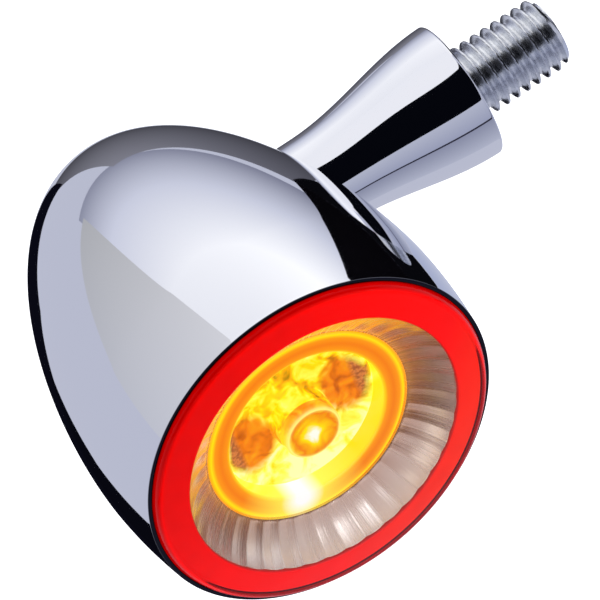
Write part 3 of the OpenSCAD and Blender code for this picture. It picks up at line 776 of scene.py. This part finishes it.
class MakeFrontLens(bpy.types.Operator):
    """Clear lens: a shallow dome of even thickness with a rounded edge that stands on the lip."""
    bl_idname = "turn_signal.front_lens"
    bl_label = "Front lens"

    def execute(self, context):
        s = context.scene.turn_signal_lens
        rim = LENS_HIGH.z
        flat_r = rim - s.edge_round
        r = np.linspace(0, flat_r, 60)
        top = np.stack([r, dome(s, r, flat_r)], axis=1)
        # the arc starts at 78 degrees, where it slopes about as the dome does
        edge = arc((flat_r, s.edge_height - s.edge_round), s.edge_round, 78, 0, 9)
        foot = [(rim, -EDGE_DEPTH)]
        under = np.stack([r[::-1], dome(s, r[::-1], flat_r) - s.thickness], axis=1)
        outline = np.concatenate([top, edge, foot, under])
        piece = solid("clear_lens", [turned(outline, LARGE_ROUND)], "head", "front_lens",
                      clear_acrylic("acrylic_moulded_clear", s))
        return finish_piece(self, piece)


class MakeRingLight(bpy.types.Operator):
    """Red ring light: a light guide whose face follows the underside of the lens, rounded at its inner
    edge, with a skirt down to the diodes."""
    bl_idname = "turn_signal.ring_light"
    bl_label = "Ring light"

    def execute(self, context):
        s = context.scene.turn_signal_lens
        rim = RING_HIGH.z
        flat_r = LENS_HIGH.z - s.edge_round
        inner = rim - s.ring_width
        edge_r = 0.25 * MM
        r = np.linspace(flat_r, inner + edge_r, 24)
        face = np.stack([r, dome(s, r, flat_r) - s.thickness - PLAY], axis=1)
        round_in = arc((inner + edge_r, face[-1, 1] - edge_r), edge_r, 90, 180, 5)
        shelf, foot = -(EDGE_DEPTH + PLAY), -4 * MM
        skirt_in, skirt_out = 15.35 * MM, 16.9 * MM
        skirt_end = LIP_Y - RING_HIGH.y
        skirt = [(inner, foot), (skirt_in, foot), (skirt_in, skirt_end), (skirt_out, skirt_end),
                 (skirt_out, foot), (rim, foot), (rim, shelf)]
        outline = np.concatenate([[(rim, shelf)], face, round_in, skirt])
        piece = solid("ring_light", [turned(outline, LARGE_ROUND)], "head",
                      "light_guide_ring", red_ring_glow("acrylic_red_lit", s))
        return finish_piece(self, piece)


class MakeReflector(bpy.types.Operator):
    """Reflector: a cone of soft flutes. Each flute rises from the face by its depth times the size of the
    sine of half the flute count times the turn, faded to nothing at the foot and the rim."""
    bl_idname = "turn_signal.reflector"
    bl_label = "Reflector"

    def execute(self, context):
        s = context.scene.turn_signal_optic
        rim_r, rim_z = REFLECTOR_HIGH.z, LIP_Y - REFLECTOR_LOW.y
        foot_r, foot_z = DIFFUSER_HIGH.z + PLAY, LIP_Y - DIFFUSER_LOW.y
        base_z = LIP_Y - REFLECTOR_HIGH.y
        collar, cone, skirt, belly = 0.85 * MM, 0.9 * MM, 1.6 * MM, 0.35 * MM
        foot_fade, rim_fade = 0.06, 0.04       # shares of the slope where the flutes fade out
        turn = np.linspace(0, FULL_TURN, s.flutes * 12 + 1)[None, :]
        share = np.linspace(0, 1, 40)[:, None]
        slope = np.array([rim_r - foot_r, rim_z - foot_z])
        normal = np.array([slope[1], -slope[0]]) / np.linalg.norm(slope)
        # the bowl curves a little, as a parabola between foot and rim
        bowed = belly * 4 * share * (1 - share)
        fade = np.clip(share / foot_fade, 0, 1) * np.clip((1 - share) / rim_fade, 0, 1)
        flutes = s.flute_depth * fade * np.abs(np.sin(s.flutes * turn / 2))
        sink = bowed - flutes + s.flute_depth
        radius = foot_r + slope[0] * share + normal[0] * sink
        height = foot_z + slope[1] * share + normal[1] * sink
        radius[0], radius[-1] = foot_r, rim_r
        height[0], height[-1] = foot_z, rim_z
        face = round_lens_axis(radius, height, turn)
        outline = [(rim_r, base_z), (rim_r - collar, base_z), (rim_r - collar, rim_z - 2 * MM),
                   (foot_r + cone, foot_z - cone), (foot_r + cone, foot_z - skirt),
                   (foot_r, foot_z - skirt)]
        back = np.concatenate([face[-1:], *[circle(r, z, turn) for r, z in outline], face[:1]])
        piece = solid("fluted_reflector", [face, back], "head", "reflector",
                      metallised("aluminium_evaporated"))
        return finish_piece(self, piece)


class MakeCentreOptic(bpy.types.Operator):
    """Amber ring and centre optic, both turned about the lens axis. The ring is a band with rounded
    corners. The optic has a dished face, half a sine wave deep, with a raised pip whose end sinks as a
    parabola, over a flank that narrows to the diodes as the depth's share to the power 1.5."""
    bl_idname = "turn_signal.centre_optic"
    bl_label = "Centre optic"

    def execute(self, context):
        s = context.scene.turn_signal_optic
        outer, top, low = DIFFUSER_HIGH.z, LIP_Y - DIFFUSER_LOW.y, LIP_Y - DIFFUSER_HIGH.y
        inner = OPTIC_HIGH.z + PLAY
        band = rounded([(inner, low, 0.1 * MM), (inner, top, 0.3 * MM), (outer, top, 0.45 * MM),
                        (outer, low, 0.1 * MM)])
        ring = solid("amber_ring", [turned(along(band, 0.2 * MM), SMALL_ROUND)], "head",
                     "diffuser_ring", amber_diffuser("polycarbonate_frosted_lit", s))
        finish_piece(self, ring)

        rim, base, pip_top = OPTIC_HIGH.z, LIP_Y - OPTIC_HIGH.y, LIP_Y - OPTIC_LOW.y
        face = pip_top - s.pip_height
        flange, step, base_r = 1.2 * MM, 0.8 * MM, 3.6 * MM
        pip_edge, dimple_edge, dimple_depth = 0.3 * MM, 0.6 * MM, 0.25 * MM
        dish_start, dish_end, dish_depth = s.pip + 0.15 * MM, rim - 0.5 * MM, 0.35 * MM
        corner = 0.2 * MM
        u = np.linspace(0, 1, 14)
        flank = np.stack([rim - step - (rim - step - base_r) * u ** 1.5,
                          face - flange - (face - flange - base) * u], axis=1)
        dish_r = np.linspace(dish_start, dish_end, 24)
        across = (dish_r - dish_start) / (dish_end - dish_start)
        dish = np.stack([dish_r, face - dish_depth * np.sin(math.pi * across)], axis=1)
        pip_round = arc((s.pip - pip_edge, pip_top - pip_edge), pip_edge, 90, 0, 6)
        crown_r = np.linspace(0, s.pip - pip_edge, 12)[:-1]
        dimple = np.clip(1 - (crown_r / (s.pip - dimple_edge)) ** 2, 0, None)
        crown = np.stack([crown_r, pip_top - dimple_depth * dimple], axis=1)
        edge = [(rim - corner, face), (rim, face - corner), (rim, face - flange)]
        well = [(2.6 * MM, base), (2.2 * MM, base + 2.2 * MM), (0, base + 2.8 * MM)]
        outline = np.concatenate([crown, pip_round, dish, edge, flank, well])
        optic = solid("centre_optic", [turned(outline, SMALL_ROUND)], "head", "collimator",
                      amber_optic("polycarbonate_optic_lit", s))
        return finish_piece(self, optic)


class FinishInnerParts(bpy.types.Operator):
    """Gives every carried-over part inside the lamp the finish of its real material."""
    bl_idname = "turn_signal.inner_parts"
    bl_label = "Inner parts"

    def execute(self, context):
        finishes = [
            (moulded("silicone_black", "#141414", 0.75, 0.05 * MM, 0.004 * MM),
             ["lens_gasket", "journal_seal", "wire_grommet"]),
            (moulded("nylon_black", "#1B1B1D", 0.5, 0.05 * MM, 0.003 * MM),
             ["optic_holder", "pin_header"]),
            (moulded("epoxy_black", "#222224", 0.6, 0.03 * MM, 0.003 * MM),
             ["driver_chip", "diodes", "chip_resistors"]),
            (moulded("nylon_natural", "#E6E2D6", 0.45, 0.05 * MM, 0.003 * MM),
             ["board_spacers", "lead_socket", "slip_washer"]),
            (moulded("solder_mask_white", "#EEEEEA", 0.25, 0.2 * MM, 0.002 * MM), ["led_board"]),
            (moulded("solder_mask_green", "#17603A", 0.25, 0.2 * MM, 0.002 * MM), ["driver_board"]),
            (moulded("ferrite_fired", "#3A3A3E", 0.7, 0.06 * MM, 0.006 * MM), ["inductor"]),
            (moulded("tantalum_moulded", "#C79A45", 0.5, 0.05 * MM, 0.003 * MM), ["capacitors"]),
            (plain_metal("bronze_sintered", "#B98A55", 0.5, 0.1 * MM), ["thrust_washer"]),
            (plain_metal("steel_zinc_plated", "#B4B6BC", 0.3, 0.3 * MM),
             ["board_screws", "tab_washer", "disc_spring", "retaining_nut"]),
            (lit_diode("diode_amber_lit", "#FFB030"), ["amber_leds"]),
            (lit_diode("diode_red_lit", "#FF2010"), ["red_leds"]),
        ]
        for finish, names in finishes:
            for name in names:
                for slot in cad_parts[name].material_slots:
                    slot.material = finish
        return {"FINISHED"}


# The curved cards of light and dark round the lamp, the farthest first: a name, whether the card is
# seen through the clear lens, then four corners in order round the card, each an azimuth and an
# elevation in degrees, a colour and a strength. Azimuth 0 is -Y and 90 is +X. A nearer card covers
# those behind it.
CARDS = [
    ("ceiling", False,
     (110, 66, "#F2F3F8", 1), (470, 66, "#F2F3F8", 1),
     (470, 90, "#F4F4F8", 1), (110, 90, "#F4F4F8", 1)),
    ("softbox_low", False,
     (114, -9, "#74768A", 1), (193, 5, "#8E91A4", 1),
     (197, 20, "#D2D5E4", 1), (113, 15, "#CED1E0", 1)),
    ("softbox_middle", False,
     (113, 15, "#CED1E0", 1), (197, 20, "#D2D5E4", 1),
     (202, 44, "#F2F3F8", 1), (111, 38, "#FFFFFF", 1.15)),
    ("softbox_high", False,
     (111, 38, "#FFFFFF", 1.15), (202, 44, "#F2F3F8", 1),
     (206, 68, "#F0F1F6", 1), (108, 68, "#F6F6FA", 1)),
    ("grey_wall", False,
     (192, 7, "#B0B1B4", 1), (252, 11, "#CACCD6", 1),
     (252, 67, "#D6D6DC", 1), (206, 67, "#DCDCE0", 1)),
    ("dark_table", False,
     (139, -9, "#5C5C66", 1), (174, 3, "#84848E", 1),
     (187, -22, "#505058", 1), (152, -42, "#34343C", 1)),
    ("flag_high", False,
     (106, 30, "#060508", 1), (118, 29, "#060508", 1),
     (142, -9, "#060508", 1), (106, -9, "#060508", 1)),
    ("flag_low", False,
     (106, -9, "#08080C", 1), (142, -9, "#08080C", 1),
     (144, -26, "#08080C", 1), (106, -30, "#08080C", 1)),
    ("pale_low", False,
     (92, -30, "#AEB6D2", 1), (144, -27, "#A8B0CC", 1),
     (166, -47, "#C8CCDC", 1), (100, -58, "#AEB6D2", 1)),
    ("black_low", False,
     (183, -16, "#0A0A14", 1), (201, -26, "#0A0A14", 1),
     (206, -62, "#0A0A14", 1), (172, -58, "#0A0A14", 1)),
    ("black_side", False,
     (199, -34, "#080810", 1), (242, -40, "#080810", 1),
     (242, -80, "#080810", 1), (199, -80, "#080810", 1)),
    ("glow_ahead", False,
     (158, -41, "#FFFFFF", 1), (171, -41, "#FFFFFF", 1),
     (171, -53, "#FFFFFF", 1), (158, -53, "#FFFFFF", 1)),
    ("front_wall", False,
     (-80, -19, "#9DA2BA", 1), (80, -19, "#9DA2BA", 1),
     (80, 14, "#B6BACB", 1), (-80, 14, "#B6BACB", 1)),
    ("front_flag", False,
     (-80, 14, "#05060C", 1), (80, 14, "#05060C", 1),
     (80, 71, "#05060C", 1), (-80, 71, "#05060C", 1)),
    ("front_line", False,
     (-80, -19, "#30303E", 1), (80, -19, "#30303E", 1),
     (80, -22, "#30303E", 1), (-80, -22, "#30303E", 1)),
    ("front_low", False,
     (-80, -22, "#8E92A8", 1), (80, -22, "#8E92A8", 1),
     (80, -64, "#B4B8CA", 1), (-80, -64, "#B4B8CA", 1)),
    ("lens_low", True,
     (-130, -75, "#20140E", 1), (130, -75, "#2A1E18", 1),
     (130, -14, "#7A6A62", 1), (-130, -14, "#5A4036", 1)),
    ("lens_wall", True,
     (-130, -14, "#B08A7E", 1), (130, -14, "#C6BEBC", 1.1),
     (130, 60, "#F0ECEC", 1.3), (-130, 60, "#F4DCD2", 1.25)),
    ("lens_top", True,
     (-130, 60, "#50443E", 1), (130, 60, "#50443E", 1),
     (130, 89, "#40362F", 1), (-130, 89, "#40362F", 1)),
    ("lens_streak", True,
     (2, 26, "#FFFFFF", 2.4), (20, 26, "#FFFFFF", 2.4),
     (20, 54, "#FFFFFF", 1.6), (2, 54, "#FFFFFF", 1.6)),
    ("lens_streak_left", True,
     (-62, 2, "#FFF0E8", 1.3), (-42, 2, "#FFF0E8", 1.3),
     (-38, 28, "#FFF0E8", 1.3), (-58, 28, "#FFF0E8", 1.3)),
    ("lens_streak_right", True,
     (56, -8, "#FFFFFF", 1.2), (72, -8, "#FFFFFF", 1.2),
     (72, 16, "#FFFFFF", 1.2), (56, 16, "#FFFFFF", 1.2)),
]
FARTHEST_CARD = 2.0                          # the distance of the first card, in metres
CARD_STEP = 0.04                             # how much nearer each next card hangs


def hang_card(name, through_lens, distance, corners, glow):
    """A card on a sphere round the lamp, whose light blends between its four corners. The camera
    doesn't see it, and it is seen either through the clear lens or by the other pieces."""
    azimuth, elevation = (np.radians([c[i] for c in corners]) for i in (0, 1))
    light = np.array([[part * c[3] for part in linear(c[2])] + [1] for c in corners])
    across, up = np.meshgrid(np.linspace(0, 1, 49), np.linspace(0, 1, 25))
    weight = np.stack([(1 - across) * (1 - up), across * (1 - up), across * up, (1 - across) * up],
                      axis=-1)
    a, e = weight @ azimuth, weight @ elevation
    points = np.stack([np.sin(a) * np.cos(e), -np.cos(a) * np.cos(e), np.sin(e)], axis=-1) * distance
    points[..., 0] += HEAD_X
    faces = four_sided(*a.shape).reshape(-1, 4)
    mesh = bpy.data.meshes.new(name)
    mesh.from_pydata(points.reshape(-1, 3).tolist(), [], faces.tolist())
    colours = mesh.color_attributes.new("glow", "FLOAT_COLOR", "POINT")
    colours.data.foreach_set("color", (weight @ light).ravel())
    mesh.materials.append(glow)
    piece = bpy.data.objects.new(name, mesh)
    bpy.context.scene.collection.objects.link(piece)
    piece.visible_camera = False
    piece.visible_shadow = False
    piece.visible_transmission = through_lens
    piece.visible_glossy = not through_lens
    piece.visible_diffuse = not through_lens


class MakeStage(bpy.types.Operator):
    """Camera, lit floor and the soft light and dark cards that the chrome mirrors."""
    bl_idname = "turn_signal.stage"
    bl_label = "Stage"

    def execute(self, context):
        s = context.scene.turn_signal_studio
        scene = context.scene
        a, e, r = (math.radians(v) for v in (s.azimuth, s.elevation, s.roll))
        back = np.array([math.sin(a) * math.cos(e), -math.cos(a) * math.cos(e), math.sin(e)])
        level = np.array([math.cos(a), math.sin(a), 0])
        up = np.cross(back, level)
        right = math.cos(r) * level + math.sin(r) * up
        up = np.cross(back, right)
        data = bpy.data.cameras.new("camera")
        data.lens = s.focal
        data.sensor_width = 36
        camera = bpy.data.objects.new("camera", data)
        scene.collection.objects.link(camera)
        camera.matrix_world = Matrix([(right[i], up[i], back[i], s.camera_place[i]) for i in range(3)]
                                     + [(0, 0, 0, 1)])
        scene.camera = camera
        scene.view_settings.view_transform = "Standard"

        floor_z, reach = CAD_LOW.z - s.floor_drop, 8.0
        corners = [(-reach, -reach, floor_z), (reach, -reach, floor_z), (reach, reach, floor_z),
                   (-reach, reach, floor_z)]
        mesh = bpy.data.meshes.new("floor")
        mesh.from_pydata(corners, [], [(0, 1, 2, 3)])
        floor = bpy.data.objects.new("floor", mesh)
        scene.collection.objects.link(floor)
        floor.visible_glossy = False
        floor.visible_transmission = False
        lit, _, _ = material("acrylic_floor_lit", Base_Color=rgba(s.floor), Roughness=0.6,
                             Emission_Color=rgba(s.floor), Emission_Strength=1.0)
        mesh.materials.append(lit)

        world = bpy.data.worlds.new("surround")
        scene.world = world
        world.use_nodes = True
        world.node_tree.nodes["Background"].inputs["Color"].default_value = rgba(s.surround)

        glow = bpy.data.materials.new("card_glow")
        glow.use_nodes = True
        tree = glow.node_tree
        tree.nodes.clear()
        colour = add(tree, "ShaderNodeAttribute", attribute_name="glow").outputs["Color"]
        light = add(tree, "ShaderNodeEmission", {"Color": colour}).outputs["Emission"]
        add(tree, "ShaderNodeOutputMaterial", {"Surface": light})
        for place, (name, through_lens, *corners) in enumerate(CARDS):
            hang_card(name, through_lens, FARTHEST_CARD - CARD_STEP * place, corners, glow)
        return {"FINISHED"}


class TurnSignalPanel(bpy.types.Panel):
    """Lists the lamp's settings and the buttons that make its pieces."""
    bl_idname = "VIEW3D_PT_turn_signal"
    bl_label = "Turn Signal"
    bl_space_type = "VIEW_3D"
    bl_region_type = "UI"
    bl_category = "Turn Signal"

    def draw(self, context):
        for key, operators in PANEL_ROWS.items():
            box = self.layout.box()
            group = getattr(context.scene, key)
            for name in group.__annotations__:
                box.prop(group, name)
            for operator in operators:
                box.operator(operator.bl_idname)


PANEL_ROWS = {
    "turn_signal_housing": [MakeHousing],
    "turn_signal_stalk": [MakeStalk, MakeStud],
    "turn_signal_lens": [MakeFrontLens, MakeRingLight],
    "turn_signal_optic": [MakeReflector, MakeCentreOptic, FinishInnerParts],
    "turn_signal_studio": [MakeStage],
}
SETTINGS = {
    "turn_signal_housing": HousingSettings,
    "turn_signal_stalk": StalkSettings,
    "turn_signal_lens": LensSettings,
    "turn_signal_optic": OpticSettings,
    "turn_signal_studio": StudioSettings,
}
CLASSES = [*SETTINGS.values(), *[o for row in PANEL_ROWS.values() for o in row], TurnSignalPanel]


def register():
    for item in CLASSES:
        bpy.utils.register_class(item)
    for key, group in SETTINGS.items():
        setattr(bpy.types.Scene, key, PointerProperty(type=group))


def unregister():
    for key in SETTINGS:
        delattr(bpy.types.Scene, key)
    for item in reversed(CLASSES):
        bpy.utils.unregister_class(item)


def main():
    """Makes every piece."""
    register()
    bpy.ops.turn_signal.housing()
    bpy.ops.turn_signal.stalk()
    bpy.ops.turn_signal.stud()
    bpy.ops.turn_signal.front_lens()
    bpy.ops.turn_signal.ring_light()
    bpy.ops.turn_signal.reflector()
    bpy.ops.turn_signal.centre_optic()
    bpy.ops.turn_signal.inner_parts()
    bpy.ops.turn_signal.stage()


if __name__ == "__main__":
    main()
